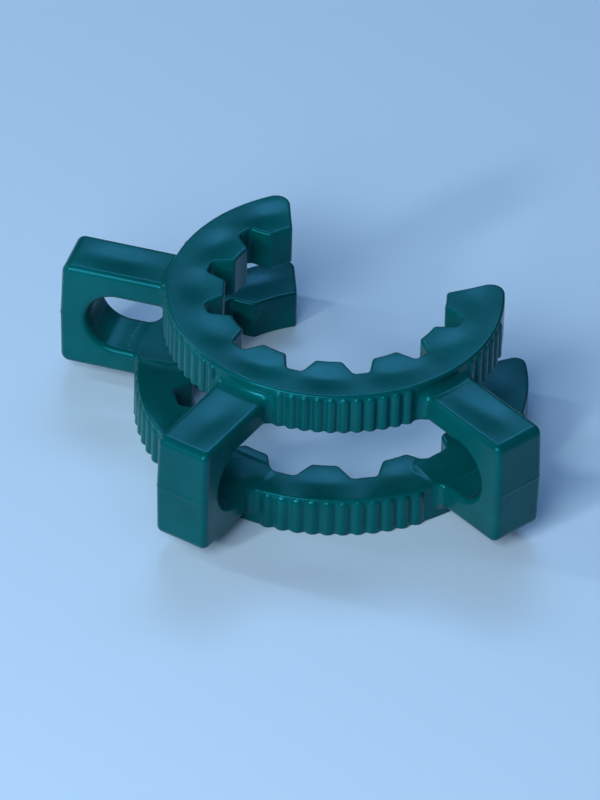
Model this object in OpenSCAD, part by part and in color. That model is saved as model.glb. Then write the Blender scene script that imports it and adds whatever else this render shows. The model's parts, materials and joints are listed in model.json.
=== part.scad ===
// Ground glass joint clip: a one-piece moulded plastic clip.
// Two toothed C-shaped collars share one axis. The small collar grips the neck of the inner glass part,
// the large collar grips the socket, and three C-shaped arms hold the two collars apart.
// The origin is on the collar axis, at the underside of the large collar.
// +Z is up, and the mouth opens towards +Y.

/* [Collars] */
// Overall height, from the underside of the large collar to the top of the small one
clip_h = 15.8; // [13.5:0.1:20]
// Thickness of the small (upper) collar
small_t = 4.6; // [3.5:0.1:5.6]
// Thickness of the large (lower) collar
large_t = 4.5; // [3.5:0.1:5.5]
// Radius of the small collar's outer wall, without its ribs
small_wall_r = 17.55; // [15.6:0.05:19.5]
// Radius of the large collar's outer wall, without its ribs
large_wall_r = 20.4; // [18.6:0.05:24.5]
// Rounding of each collar's outer top and bottom edges
collar_edge_r = 0.35; // [0.1:0.05:0.8]

/* [Teeth] */
// Radius of the circle that the small collar's tooth tips lie on
small_tip_r = 11.5; // [9.5:0.1:12.4]
// Radius of the small collar's notch bottoms
small_notch_r = 13.6; // [12.7:0.1:14.6]
// Radius of the circle that the large collar's tooth tips lie on
large_tip_r = 14.5; // [12:0.1:15.6]
// Radius of the large collar's notch bottoms
large_notch_r = 16.7; // [15.9:0.1:17.6]
// Angle from one tooth to the next
tooth_pitch = 29.5; // [28:0.25:31]
// Whole teeth on each side of the middle tooth
side_teeth = 3; // [3:1:3]
// Width of a tooth at its tip
tooth_tip_w = 2.7; // [2:0.1:3.2]
// Width of a small collar tooth at its root
small_root_w = 5.35; // [4.4:0.05:6]
// Width of a large collar tooth at its root
large_root_w = 5.95; // [4.8:0.05:7]

/* [Mouth] */
// Width of the small collar's mouth, between the inner corners of its end faces
small_mouth_w = 19; // [15.8:0.1:19.3]
// Width of the large collar's mouth, between the inner corners of its end faces
large_mouth_w = 21.5; // [17.9:0.1:22.5]
// Angle by which each end face spreads away from the middle of the mouth
mouth_flare = 36.5; // [25:0.5:40]
// Corner radius between an end face and the outer wall, on the small collar
small_end_corner_r = 2; // [0.6:0.1:2.4]
// Corner radius between an end face and the outer wall, on the large collar
large_end_corner_r = 1.4; // [0.6:0.1:2.4]

/* [Arms] */
// Distance from the collar axis to the outer face of each arm
arm_reach = 29; // [27:0.1:35]
// Width of an arm
arm_w = 6.2; // [5:0.1:7.5]
// Angle between the middle arm and each side arm
side_arm_angle = 74; // [68:1:80]
// Step down from the small collar's top to the arms, and up from the large collar's underside
arm_step = 1.6; // [1:0.1:2.6]
// Thickness of the arm's outer wall, outside the middle of the window's round end
arm_end_t = 2.9; // [2.2:0.1:3.6]
// Rounding of the arm's outside edges
arm_edge_r = 0.7; // [0.2:0.1:1]
// Fillet in plan between an arm and a collar
arm_fillet_r = 0.9; // [0.4:0.1:1.4]

/* [Grip ribs] */
// Angle from one rib to the next
rib_pitch = 4.5; // [4:0.25:5.5]
// Height of a rib above the collar wall
rib_proud = 0.3; // [0.2:0.05:0.45]
// Width of the smooth strip between two ribs
rib_land = 0.28; // [0.15:0.01:0.5]
// Distance from the ball at a rib's upper end to the collar's top face
rib_top_margin = 0.05; // [0.05:0.05:0.6]
// Distance from the ball at a rib's lower end to the collar's underside
rib_foot_margin = 0.05; // [0.05:0.05:0.4]
// Least angle from the centre of the last rib before a side arm to the side of that arm
rib_before_arm = 5; // [4:0.5:9]
// Least angle from the side of an arm to the centre of the first rib beyond it
rib_after_arm = 1.25; // [1:0.25:6]
// Angle from the middle arm to the last rib
last_rib_angle = 109; // [100:0.5:113]

/* [Hidden] */
clip_colour = [0.02, 0.42, 0.42];
$fn = 96;
// Overlap that joins parts of the one moulding
weld = 1.5;
// Length that is safely outside the whole clip
far = 3 * arm_reach;
// Share of a tooth flank by which a notch runs on into the bore
bore_overrun = 0.2;
// Space between the collars, which is also the height of the arm windows
gap_h = clip_h - small_t - large_t;
gap_mid_z = large_t + gap_h / 2;
window_r = gap_h / 2;
window_centre = arm_reach - arm_end_t - window_r;
arm_bottom_z = arm_step;
arm_top_z = clip_h - arm_step;
arm_angles = [-side_arm_angle, 0, side_arm_angle];

// Point at an angle measured from -Y towards +X, at a radius
function polar(angle, radius) = [radius * sin(angle), -radius * cos(angle)];

// Angle that half of a width takes up on a circle
function half_angle(width, radius) = asin(width / 2 / radius);

// Turns its children from the -Y direction to an angle about the axis
module at_angle(angle) {
    rotate([0, 0, angle]) children();
}

// Point on the line from one point through another, past it by a share of their distance
function past(from, through, share) = through + share * (through - from);

// Notch between two teeth. Its sides run on a little into the bore, and its bottom is flat.
module notch(first_tooth, tip_r, notch_r, root_w) {
    tip_half = half_angle(tooth_tip_w, tip_r);
    root_half = half_angle(root_w, notch_r);
    a = first_tooth * tooth_pitch;
    b = a + tooth_pitch;
    root_a = polar(a + root_half, notch_r);
    root_b = polar(b - root_half, notch_r);
    polygon([
        past(root_a, polar(a + tip_half, tip_r), bore_overrun),
        root_a,
        root_b,
        past(root_b, polar(b - tip_half, tip_r), bore_overrun)
    ]);
}

// Inner corner of the end face on the +X side
function mouth_corner(tip_r, mouth_w) = [mouth_w / 2, sqrt(tip_r * tip_r - mouth_w * mouth_w / 4)];

// Open mouth between the two end faces, which runs on into the bore
module mouth(tip_r, mouth_w) {
    along = [sin(mouth_flare), cos(mouth_flare)];
    corner = mouth_corner(tip_r, mouth_w);
    inner = corner - along * tip_r / 2;
    outer = corner + along * far;
    polygon([inner, outer, [-outer.x, outer.y], [-inner.x, inner.y]]);
}

// What is cut away to round the corner between the +X end face and the outer wall
module end_corner_cut(wall_r, tip_r, mouth_w, corner_r) {
    along = [sin(mouth_flare), cos(mouth_flare)];
    inward = [cos(mouth_flare), -sin(mouth_flare)];
    start = mouth_corner(tip_r, mouth_w) + corner_r * inward;
    reach = wall_r - corner_r;
    lead = start * along;
    centre = start + along * (sqrt(lead * lead - start * start + reach * reach) - lead);
    outward = centre / norm(centre);
    size = 3 * corner_r;
    difference() {
        polygon([
            centre,
            centre - size * inward,
            centre - size * inward + size * outward,
            centre + size * outward
        ]);
        translate(centre) circle(corner_r);
    }
}

// Outline of a collar seen along its axis
module collar_plan(wall_r, tip_r, notch_r, root_w, mouth_w, corner_r) {
    difference() {
        circle(wall_r);
        circle(tip_r);
        for (k = [-side_teeth - 1 : side_teeth]) notch(k, tip_r, notch_r, root_w);
        mouth(tip_r, mouth_w);
        for (side = [0, 1])
            mirror([side, 0]) end_corner_cut(wall_r, tip_r, mouth_w, corner_r);
    }
}

// Rectangle with rounded corners, from the origin to size
module rounded_rectangle(size, corner_r) {
    translate([corner_r, 0]) square([size.x - 2 * corner_r, size.y]);
    translate([0, corner_r]) square([size.x, size.y - 2 * corner_r]);
    for (x = [corner_r, size.x - corner_r], y = [corner_r, size.y - corner_r])
        translate([x, y]) circle(corner_r);
}

// Disc with rounded rims, which gives a collar its rounded outer edges
module rounded_disc(disc_r, height) {
    rotate_extrude() intersection() {
        translate([-disc_r, 0]) rounded_rectangle([2 * disc_r, height], collar_edge_r);
        square([disc_r, height]);
    }
}

// Radius of a rib's round back, from the width that the ribs share on the wall
function rib_radius(wall_r) =
    let (half_w = (wall_r * rib_pitch * PI / 180 - rib_land) / 2)
    (half_w * half_w + rib_proud * rib_proud) / (2 * rib_proud);

// One rib on the wall at the -Y side: a round bar with ball ends, sunk into the wall
module rib(wall_r, height) {
    r = rib_radius(wall_r);
    bar_h = height - rib_top_margin - rib_foot_margin - 2 * r;
    translate([0, r - rib_proud - wall_r, rib_foot_margin + r]) rotate_extrude() intersection() {
        union() {
            square([r, bar_h]);
            circle(r);
            translate([0, bar_h]) circle(r);
        }
        translate([0, -r]) square([r, bar_h + 2 * r]);
    }
}

// Whether a rib at an angle is clear of the arms and the plain ends
function rib_fits(angle, wall_r) =
    let (arm_half = half_angle(arm_w, wall_r))
    (angle > arm_half + rib_after_arm && angle < side_arm_angle - arm_half - rib_before_arm)
    || (angle > side_arm_angle + arm_half + rib_after_arm && angle < last_rib_angle);

// All the ribs of one collar
module ribs(wall_r, height) {
    for (k = [1 : floor(last_rib_angle / rib_pitch)], side = [-1, 1])
        if (rib_fits(k * rib_pitch, wall_r)) at_angle(side * k * rib_pitch) rib(wall_r, height);
}

// One collar standing on z = 0
module collar(wall_r, height, tip_r, notch_r, root_w, mouth_w, corner_r) {
    intersection() {
        linear_extrude(height) collar_plan(wall_r, tip_r, notch_r, root_w, mouth_w, corner_r);
        rounded_disc(wall_r, height);
    }
    ribs(wall_r, height);
}

// Outline of the arm at the -Y side in plan: rounded at its outer end
module arm_plan(root_r) {
    translate([-arm_w / 2, -arm_reach]) rounded_rectangle([arm_w, arm_reach - root_r], arm_edge_r);
    translate([-arm_w / 2, -root_r - weld]) square([arm_w, weld]);
}

// Side view of the arm, as distance from the axis against height, with its window
module arm_side() {
    difference() {
        translate([0, arm_bottom_z])
            rounded_rectangle([arm_reach, arm_top_z - arm_bottom_z], arm_edge_r);
        translate([0, large_t]) square([window_centre, gap_h]);
        translate([window_centre, gap_mid_z]) circle(window_r);
    }
}

// The arm at the -Y side: a C that joins the two collars around the space between them
module arm() {
    root_r = small_wall_r - weld;
    intersection() {
        linear_extrude(clip_h) arm_plan(root_r);
        translate([arm_w, 0, 0]) rotate([90, 0, -90]) linear_extrude(2 * arm_w) arm_side();
        translate([-arm_w / 2, 0, arm_bottom_z]) rotate([90, 0, 0])
            linear_extrude(far) rounded_rectangle([arm_w, arm_top_z - arm_bottom_z], arm_edge_r);
    }
}

// Fillets in plan on both sides of the arm where it meets a collar of the given radius
module arm_fillets(wall_r, low_z, high_z) {
    x = arm_w / 2 + arm_fillet_r;
    y = -sqrt(pow(wall_r + arm_fillet_r, 2) - x * x);
    touch = [x, y] * wall_r / (wall_r + arm_fillet_r);
    inside_x = arm_w / 2 - arm_edge_r;
    for (side = [0, 1]) mirror([side, 0, 0]) translate([0, 0, low_z])
        linear_extrude(high_z - low_z) difference() {
            polygon([[x, y], [inside_x, y], [inside_x, touch.y + weld], touch]);
            translate([x, y]) circle(arm_fillet_r);
        }
}

// The whole moulding
module joint_clip() {
    color(clip_colour) union() {
        translate([0, 0, clip_h - small_t]) collar(
            small_wall_r, small_t, small_tip_r, small_notch_r, small_root_w, small_mouth_w,
            small_end_corner_r
        );
        collar(
            large_wall_r, large_t, large_tip_r, large_notch_r, large_root_w, large_mouth_w,
            large_end_corner_r
        );
        for (angle = arm_angles) at_angle(angle) {
            arm();
            arm_fillets(small_wall_r, clip_h - small_t + collar_edge_r, arm_top_z - arm_edge_r);
            arm_fillets(large_wall_r, arm_bottom_z + arm_edge_r, large_t - collar_edge_r);
        }
    }
}

joint_clip();
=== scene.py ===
"""Looks of the ground glass joint clip: one moulded body with soft edges, on a plain pale floor.

The clip is modelled as a signed distance field in millimetres (negative inside), which gives every edge and
every inside corner the round form that a moulding has. The field is meshed, each vertex is moved onto its
exact surface, and the normals are the field's own slope. Angles are measured from -Y towards +X.
"""

import json
import math

import bpy
import numpy as np
import openvdb
from mathutils import Matrix, Vector


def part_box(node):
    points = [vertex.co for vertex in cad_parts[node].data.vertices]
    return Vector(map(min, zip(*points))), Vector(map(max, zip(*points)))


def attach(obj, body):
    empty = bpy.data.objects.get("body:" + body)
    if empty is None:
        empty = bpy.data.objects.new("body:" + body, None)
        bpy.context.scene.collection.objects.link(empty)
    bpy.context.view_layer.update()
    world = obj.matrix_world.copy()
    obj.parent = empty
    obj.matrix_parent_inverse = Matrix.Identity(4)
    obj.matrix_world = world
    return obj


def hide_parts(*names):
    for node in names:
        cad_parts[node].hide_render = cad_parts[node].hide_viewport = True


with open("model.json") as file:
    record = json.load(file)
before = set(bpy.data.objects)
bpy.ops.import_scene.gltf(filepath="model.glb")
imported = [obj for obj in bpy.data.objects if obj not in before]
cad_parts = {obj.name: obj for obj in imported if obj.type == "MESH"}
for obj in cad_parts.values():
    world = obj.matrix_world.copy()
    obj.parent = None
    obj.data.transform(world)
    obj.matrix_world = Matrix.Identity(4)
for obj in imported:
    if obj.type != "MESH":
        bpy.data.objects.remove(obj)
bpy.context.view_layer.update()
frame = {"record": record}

NODE = "joint_clip"
MM = 0.001

# ---------------------------------------------------------------- sizes, in millimetres and degrees
low_corner, high_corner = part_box(NODE)
mounts = {mount["name"]: mount for mount in frame["record"]["mounts"]}
CLIP_H = high_corner.z / MM
ARM_REACH = -low_corner.y / MM
SMALL_TIP_R = mounts["small_collar"]["dims"]["r_mm"]
LARGE_TIP_R = mounts["large_collar"]["dims"]["r_mm"]
SMALL_T = mounts["small_collar"]["dims"]["length_mm"]
LARGE_T = mounts["large_collar"]["dims"]["length_mm"]

# Collars: walls, notch bottoms, roots and tips of the teeth, mouths with their flared end faces, end corners
SMALL_WALL_R = 17.55
LARGE_WALL_R = 20.4
SMALL_NOTCH_R = 13.6
LARGE_NOTCH_R = 16.7
SMALL_ROOT_W = 5.35
LARGE_ROOT_W = 5.95
TOOTH_TIP_W = 2.7
TOOTH_PITCH = 29.5
SIDE_TEETH = 3
SMALL_MOUTH_W = 19.0
LARGE_MOUTH_W = 21.5
MOUTH_FLARE = 36.5
SMALL_END_CORNER_R = 2.0
LARGE_END_CORNER_R = 1.4

# Arms: each stands back from the clip's top and underside by ARM_STEP, and starts inside the collars
ARM_W = 6.2
ARM_STEP = 1.6
ARM_END_T = 2.9
SIDE_ARM_ANGLE = 74
ARM_ROOT_R = 16.5

# Ribs: the pitch and what keeps clear of an arm on either side of it are angles, and the rest are lengths
RIB_PITCH = 4.5
RIB_PROUD = 0.3
RIB_LAND = 0.28
RIB_TOP_MARGIN = 0.25
RIB_BEFORE_ARM = 5
RIB_AFTER_ARM = 1.25
LAST_RIB_ANGLE = 109

# Worked out from the sizes above. A collar is its wall, height, tooth tips, notches, roots, mouth and end
# corners, in that order.
SMALL_COLLAR = (
    SMALL_WALL_R, SMALL_T, SMALL_TIP_R, SMALL_NOTCH_R, SMALL_ROOT_W, SMALL_MOUTH_W, SMALL_END_CORNER_R
)
LARGE_COLLAR = (
    LARGE_WALL_R, LARGE_T, LARGE_TIP_R, LARGE_NOTCH_R, LARGE_ROOT_W, LARGE_MOUTH_W, LARGE_END_CORNER_R
)
GAP_LOW = LARGE_T
GAP_HIGH = CLIP_H - SMALL_T
WINDOW_R = (GAP_HIGH - GAP_LOW) / 2
WINDOW_Z = (GAP_HIGH + GAP_LOW) / 2
WINDOW_CENTRE = ARM_REACH - ARM_END_T - WINDOW_R
ARM_MID_Z = CLIP_H / 2
ARM_HALF_H = CLIP_H / 2 - ARM_STEP

# The gap between the collars is cleared out to this far short of the centre of a window's round end
GAP_INSET = 1.0

# Roundings that the moulding has
COLLAR_EDGE_R = 0.3
FOOT_EDGE_R = 0.12
TOOTH_CORNER_R = 0.3
ARM_EDGE_R = 0.65
ARM_CORNER_R = 0.95
ROOT_FILLET_R = 0.9
RIB_FILLET_R = 0.06
GAP_EDGE_R = 0.12

# Draft of the arms' outer faces either way from the parting line, and the parting line itself
ARM_DRAFT = math.tan(math.radians(1.3))
PARTING_HEIGHT = 0.05
PARTING_WIDTH = 0.12

# Sink marks on the flat faces. On a collar they are deeper at each tooth, and two waves with no tie to the
# teeth make them uneven: each has its share of change in depth, its waves per turn and its start angle.
SINK_DEPTH = 0.16
SINK_SHARE = 0.5
SINK_TOOTH_SHARE = 0.42
SLOW_DRIFT = (0.25, 2.3, 40)
QUICK_DRIFT = (0.2, 5.1, 110)
ARM_SINK_R = 23
ARM_SINK_LENGTH = 3.5

# The mesh: a distance that counts as far away, the field's pitch, the room round the clip, the step over
# which a slope is taken, how often a vertex is moved onto the surface, and the number of triangles
FAR = 9.0
VOXEL = 0.16
MARGIN = 1.0
SLOPE_STEP = 0.04
PROJECTIONS = 2
TRIANGLES = 180000


# ---------------------------------------------------------------- distance field
def round_and(a, b, r):
    """Where both shapes are, with the edge between them rounded to radius r."""
    outside = np.sqrt(np.maximum(a + r, 0) ** 2 + np.maximum(b + r, 0) ** 2)
    return np.minimum(np.maximum(a, b), -r) + outside


def round_or(a, b, r):
    """Where either shape is, with the inside corner between them filled to radius r."""
    return -round_and(-a, -b, r)


def half_angle(width, radius):
    """Half the angle, in degrees, that a width takes up at a radius."""
    return math.degrees(math.asin(width / 2 / radius))


def bore_and_notches(r, angle, tip_r, notch_r, root_w):
    """Distance to the toothed hole of a collar, in plan."""
    from_notch = (np.abs(angle) / TOOTH_PITCH % 1 - 0.5) * TOOTH_PITCH
    u = r * np.cos(np.radians(from_notch))
    v = r * np.abs(np.sin(np.radians(from_notch)))
    half = math.radians(TOOTH_PITCH / 2)
    tip_half = half - math.asin(TOOTH_TIP_W / 2 / tip_r)
    root_half = half - math.asin(root_w / 2 / notch_r)
    root_u, root_v = notch_r * math.cos(root_half), notch_r * math.sin(root_half)
    along_u, along_v = tip_r * math.cos(tip_half) - root_u, tip_r * math.sin(tip_half) - root_v
    bottom = u - root_u
    side = ((u - root_u) * along_v - (v - root_v) * along_u) / math.hypot(along_u, along_v)
    notch = round_and(bottom, side, TOOTH_CORNER_R)
    notch = np.where(np.abs(angle) > (SIDE_TEETH + 1) * TOOTH_PITCH, FAR, notch)
    return round_or(r - tip_r, notch, TOOTH_CORNER_R)


def end_face(x, y, tip_r, mouth_w):
    """Distance to the end face on the side where the point is: positive beyond it, in the mouth."""
    corner_y = math.sqrt(tip_r**2 - mouth_w**2 / 4)
    flare = math.radians(MOUTH_FLARE)
    return (y - corner_y) * math.sin(flare) - (np.abs(x) - mouth_w / 2) * math.cos(flare)


def rib_radius(wall_r):
    """Radius of the round bar that stands RIB_PROUD out of a wall and leaves RIB_LAND between ribs."""
    half_w = (wall_r * math.radians(RIB_PITCH) - RIB_LAND) / 2
    return (half_w**2 + RIB_PROUD**2) / (2 * RIB_PROUD)


def ribs(r, angle, z, wall_r, height):
    """Distance to the nearest rib of a collar: upright bars with a ball at the top, sunk into the wall."""
    number = np.round(np.abs(angle) / RIB_PITCH)
    nearest = number * RIB_PITCH
    arm_half = half_angle(ARM_W, wall_r)
    front = (nearest > arm_half + RIB_AFTER_ARM) & (nearest < SIDE_ARM_ANGLE - arm_half - RIB_BEFORE_ARM)
    back = (nearest > SIDE_ARM_ANGLE + arm_half + RIB_AFTER_ARM) & (nearest < LAST_RIB_ANGLE)
    rib_r = rib_radius(wall_r)
    sunk = rib_r - RIB_PROUD
    top = height - RIB_TOP_MARGIN - math.sqrt(rib_r**2 - sunk**2)
    away = np.radians(np.abs(angle) - nearest)
    across = r * np.sin(away)
    out = r * np.cos(away) - (wall_r - sunk)
    up = np.maximum(z - top, 0)
    return np.where(front | back, np.sqrt(across**2 + out**2 + up**2) - rib_r, FAR)


def collar(x, y, z, wall_r, height, tip_r, notch_r, root_w, mouth_w, corner_r):
    """Distance to one collar with its ribs, standing on z = 0."""
    r = np.sqrt(x**2 + y**2)
    angle = np.degrees(np.arctan2(x, -y))
    hole = bore_and_notches(r, angle, tip_r, notch_r, root_w)
    mouth = end_face(x, y, tip_r, mouth_w)
    plan = round_and(r - wall_r, mouth, corner_r)
    plan = round_and(plan, -hole, TOOTH_CORNER_R)
    walls = round_or(plan, ribs(r, angle, z, wall_r, height), RIB_FILLET_R)
    sink = SINK_DEPTH * sink_marks(r, angle, (tip_r + wall_r) / 2, (wall_r - tip_r) / 4)
    body = round_and(walls, z - height + sink, COLLAR_EDGE_R)
    return round_and(body, sink - z, FOOT_EDGE_R)


def wave(angle, share, waves, start):
    """A wave round the axis: its height, waves per turn and start angle."""
    return share * np.sin(np.radians(angle * waves + start))


def sink_marks(r, angle, mid_r, spread):
    """Share of the sink depth over a collar's faces: a shallow dip along the middle, deeper at each tooth."""
    ring = np.exp(-(((r - mid_r) / spread) ** 2))
    teeth = SINK_SHARE + SINK_TOOTH_SHARE * np.cos(np.radians(angle * 360 / TOOTH_PITCH))
    drift = wave(angle, *SLOW_DRIFT) + wave(angle, *QUICK_DRIFT)
    return ring * teeth * (1 + drift)


def arm(x, y, z, angle):
    """Distance to the C-shaped arm at an angle about the axis."""
    s, c = math.sin(math.radians(angle)), math.cos(math.radians(angle))
    out = x * s - y * c
    across = np.abs(x * c + y * s)
    off_mid = np.abs(z - ARM_MID_Z)
    parting = PARTING_HEIGHT * np.exp(-((off_mid / PARTING_WIDTH) ** 2))
    dip = np.exp(-((across / (ARM_W / 4)) ** 2)) * np.exp(-(((out - ARM_SINK_R) / ARM_SINK_LENGTH) ** 2))
    tip = out + ARM_DRAFT * off_mid - ARM_REACH - parting
    side = round_and(tip, off_mid - ARM_HALF_H + SINK_DEPTH * dip, ARM_CORNER_R)
    past_centre = np.maximum(out - WINDOW_CENTRE, 0)
    window = np.sqrt(past_centre**2 + (z - WINDOW_Z) ** 2) - WINDOW_R
    side = np.maximum(np.maximum(side, -window), ARM_ROOT_R - out)
    face = across + ARM_DRAFT / 2 * off_mid - ARM_W / 2
    return round_and(side, face, ARM_EDGE_R)


def clip(x, y, z):
    """Distance to the whole clip."""
    small = collar(x, y, z - GAP_HIGH, *SMALL_COLLAR)
    large = collar(x, y, z, *LARGE_COLLAR)
    arms = np.minimum(arm(x, y, z, 0), arm(np.abs(x), y, z, SIDE_ARM_ANGLE))
    body = round_or(np.minimum(small, large), arms, ROOT_FILLET_R)
    r = np.sqrt(x**2 + y**2)
    gap = np.maximum(np.abs(z - WINDOW_Z) - WINDOW_R, r - WINDOW_CENTRE + GAP_INSET)
    return round_and(body, -gap, GAP_EDGE_R)


def slope(points):
    """Unit slope of the distance field at each point."""
    out = np.zeros_like(points)
    for axis in range(3):
        shift = np.zeros(3)
        shift[axis] = SLOPE_STEP
        ahead, behind = points + shift, points - shift
        out[:, axis] = clip(*ahead.T) - clip(*behind.T)
    return out / np.maximum(np.linalg.norm(out, axis=1), 1e-9)[:, None]


# ---------------------------------------------------------------- mesh
def field_surface():
    """Points, in millimetres, and faces of the surface where the field is zero."""
    low = np.array(low_corner) / MM - MARGIN
    high = np.array(high_corner) / MM + MARGIN
    counts = np.ceil((high - low) / VOXEL).astype(int)
    x, y, z = (low[axis] + VOXEL * np.arange(counts[axis]) for axis in range(3))
    field = clip(x[:, None, None], y[None, :, None], z[None, None, :])
    grid = openvdb.FloatGrid(FAR)
    grid.copyFromArray(field.astype(np.float32))
    points, triangles, quads = grid.convertToPolygons(isovalue=0.0, adaptivity=0.0)
    return points * VOXEL + low, triangles.tolist() + quads.tolist()


def thin_out(body):
    """Puts a mesh with only TRIANGLES triangles in place of the body's own."""
    full = body.data
    thin = body.modifiers.new("thin", "DECIMATE")
    thin.ratio = TRIANGLES / (len(full.loops) - 2 * len(full.polygons))
    thinned = bpy.data.meshes.new_from_object(body.evaluated_get(bpy.context.evaluated_depsgraph_get()))
    body.modifiers.clear()
    body.data = thinned
    thinned.name = "clip_body"
    bpy.data.meshes.remove(full)


def move_onto_surface(mesh):
    """Moves every vertex onto the exact surface, and makes its normal the field's slope there."""
    points = np.empty(len(mesh.vertices) * 3, np.float32)
    mesh.vertices.foreach_get("co", points)
    points = points.reshape(-1, 3).astype(float) / MM
    for _ in range(PROJECTIONS):
        points -= clip(*points.T)[:, None] * slope(points)
    mesh.vertices.foreach_set("co", (points * MM).astype(np.float32).ravel())
    mesh.shade_smooth()
    mesh.normals_split_custom_set_from_vertices(slope(points).tolist())
    mesh.update()


def make_clip_body():
    """The clip as one object, in metres."""
    points, faces = field_surface()
    mesh = bpy.data.meshes.new("clip_body")
    mesh.from_pydata((points * MM).tolist(), [], faces)
    body = bpy.data.objects.new("clip_body", mesh)
    bpy.context.scene.collection.objects.link(body)
    thin_out(body)
    move_onto_surface(body.data)
    return body


# ---------------------------------------------------------------- materials
# A noise lies mostly between these two values. Each noise below is its scale, in features per metre, and its
# detail.
NOISE_LOW = 0.3
NOISE_HIGH = 0.7

PLASTIC_DARK = (0.0, 0.07, 0.073, 1)
PLASTIC_LIGHT = (0.0, 0.097, 0.1, 1)
PLASTIC_ROUGHNESS = (0.17, 0.29)
PLASTIC_IOR = 1.48
REFLECTION_LEVEL = 0.45
REFLECTION_TINT = (0.08, 0.72, 1.0, 1)
FLOW_NOISE = (180.0, 2.0)
PATCH_NOISE = (260.0, 4.0)
WAVE_NOISE = (320.0, 2.0)
WAVE_BUMP = {"Strength": 0.25, "Distance": 0.00008}
GRAIN_NOISE = (3500.0, 3.0)
GRAIN_BUMP = {"Strength": 0.3, "Distance": 0.00002}

FLOOR_COLOUR = (0.72, 0.8, 0.97, 1)
FLOOR_ROUGHNESS = 0.3
FLOOR_SIZE = 3.0


def new_material(name):
    """A material with its node tree and its Principled shader."""
    material = bpy.data.materials.new(name)
    material.use_nodes = True
    return material, material.node_tree, material.node_tree.nodes["Principled BSDF"]


def add_node(tree, kind, inputs):
    """A new node with some of its inputs set."""
    node = tree.nodes.new(kind)
    for name, value in inputs.items():
        node.inputs[name].default_value = value
    return node


def noise(tree, vector, scale, detail):
    """Noise over a place, from about 0.3 to 0.7."""
    node = add_node(tree, "ShaderNodeTexNoise", {"Scale": scale, "Detail": detail})
    tree.links.new(vector, node.inputs["Vector"])
    return node.outputs["Fac"]


def spread(tree, value, low, high):
    """Maps the middle of a noise to low and high."""
    limits = {"From Min": NOISE_LOW, "From Max": NOISE_HIGH, "To Min": low, "To Max": high}
    node = add_node(tree, "ShaderNodeMapRange", limits)
    tree.links.new(value, node.inputs["Value"])
    return node.outputs["Result"]


def blend(tree, value, dark, light):
    """Colour that runs from dark to light over the middle of a noise."""
    node = tree.nodes.new("ShaderNodeValToRGB")
    for stop, position, colour in zip(node.color_ramp.elements, (NOISE_LOW, NOISE_HIGH), (dark, light)):
        stop.position = position
        stop.color = colour
    tree.links.new(value, node.inputs["Fac"])
    return node.outputs["Color"]


def plastic():
    """Teal-green moulded acetal: satin gloss, with faint flow marks and a fine moulded grain."""
    material, tree, shader = new_material("moulded_plastic")
    place = tree.nodes.new("ShaderNodeTexCoord").outputs["Object"]

    flow = noise(tree, place, *FLOW_NOISE)
    tree.links.new(blend(tree, flow, PLASTIC_DARK, PLASTIC_LIGHT), shader.inputs["Base Color"])
    patches = noise(tree, place, *PATCH_NOISE)
    tree.links.new(spread(tree, patches, *PLASTIC_ROUGHNESS), shader.inputs["Roughness"])

    waves = add_node(tree, "ShaderNodeBump", WAVE_BUMP)
    tree.links.new(noise(tree, place, *WAVE_NOISE), waves.inputs["Height"])
    grain = add_node(tree, "ShaderNodeBump", GRAIN_BUMP)
    tree.links.new(noise(tree, place, *GRAIN_NOISE), grain.inputs["Height"])
    tree.links.new(waves.outputs["Normal"], grain.inputs["Normal"])
    tree.links.new(grain.outputs["Normal"], shader.inputs["Normal"])

    shader.inputs["IOR"].default_value = PLASTIC_IOR
    shader.inputs["Specular IOR Level"].default_value = REFLECTION_LEVEL
    shader.inputs["Specular Tint"].default_value = REFLECTION_TINT
    return material


def floor_material():
    """Plain pale blue card, slightly smooth."""
    material, _, shader = new_material("floor")
    shader.inputs["Base Color"].default_value = FLOOR_COLOUR
    shader.inputs["Roughness"].default_value = FLOOR_ROUGHNESS
    return material


# ---------------------------------------------------------------- the piece
body = make_clip_body()
body.data.materials.append(plastic())
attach(body, "root")
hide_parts(NODE)


# ---------------------------------------------------------------- floor, light and camera
SENSOR_W = 36
AIM_OFFSET = Vector((0.00154, -0.00118, 0))
centre = (low_corner + high_corner) / 2


def make_floor():
    """A wide flat floor at z = 0, where the clip's underside is."""
    half = FLOOR_SIZE / 2
    mesh = bpy.data.meshes.new("floor")
    corners = [(-half, -half, 0), (half, -half, 0), (half, half, 0), (-half, half, 0)]
    mesh.from_pydata(corners, [], [(0, 1, 2, 3)])
    floor = bpy.data.objects.new("floor", mesh)
    bpy.context.scene.collection.objects.link(floor)
    mesh.materials.append(floor_material())


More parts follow.
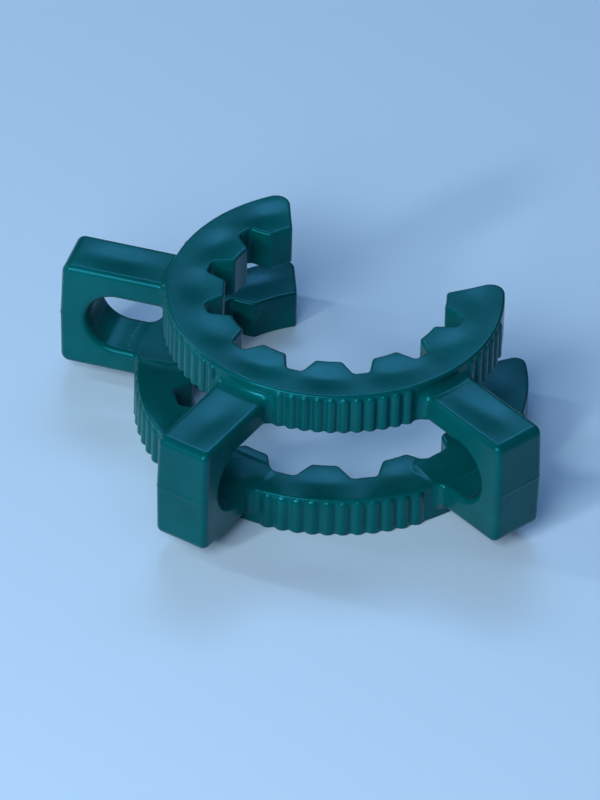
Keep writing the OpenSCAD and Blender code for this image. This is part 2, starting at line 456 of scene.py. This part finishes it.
def view_direction(azimuth, elevation):
    """Unit vector from the clip towards a viewer."""
    a, e = math.radians(azimuth), math.radians(elevation)
    return Vector((math.sin(a) * math.cos(e), -math.cos(a) * math.cos(e), math.sin(e)))


def softbox(name, azimuth, elevation, distance, size, power, colour):
    """A soft rectangular light that faces the clip."""
    light = bpy.data.lights.new(name, "AREA")
    light.shape = "RECTANGLE"
    light.size, light.size_y = size
    light.energy = power
    light.color = colour
    lamp = bpy.data.objects.new(name, light)
    direction = view_direction(azimuth, elevation)
    lamp.location = centre + direction * distance
    lamp.rotation_euler = direction.to_track_quat("Z", "Y").to_euler()
    bpy.context.scene.collection.objects.link(lamp)


def make_world(colour, strength):
    """An even light from all around."""
    world = bpy.data.worlds.new("studio")
    world.use_nodes = True
    background = world.node_tree.nodes["Background"]
    background.inputs["Color"].default_value = colour
    background.inputs["Strength"].default_value = strength
    bpy.context.scene.world = world


def make_camera(azimuth, elevation, roll, distance, lens, aim):
    """A camera that looks at a point from an azimuth and an elevation, rolled about its own axis."""
    data = bpy.data.cameras.new("camera")
    data.lens = lens
    data.sensor_width = SENSOR_W
    camera = bpy.data.objects.new("camera", data)
    direction = view_direction(azimuth, elevation)
    turn = direction.to_track_quat("Z", "Y").to_matrix() @ Matrix.Rotation(math.radians(roll), 3, "Z")
    camera.matrix_world = Matrix.Translation(aim + direction * distance) @ turn.to_4x4()
    bpy.context.scene.collection.objects.link(camera)
    bpy.context.scene.camera = camera


make_floor()
softbox("key", 6, 38, distance=0.6, size=(0.36, 0.36), power=2.4, colour=(0.72, 0.93, 1.0))
softbox("glint", -14, 24, distance=0.5, size=(0.05, 0.05), power=0.65, colour=(0.75, 0.95, 1.0))
softbox("overhead", 207, 49, distance=0.6, size=(0.45, 0.16), power=0.85, colour=(0.3, 0.6, 1.0))
softbox("left_rim", -75, 28, distance=0.5, size=(0.04, 0.3), power=0.5, colour=(0.6, 0.88, 1.0))
make_world((0.25, 0.55, 1.0, 1), 0.12)
bpy.context.scene.view_settings.view_transform = "Standard"

make_camera(31.98, 38.64, roll=1.65, distance=1.1635, lens=506.7, aim=centre + AIM_OFFSET)
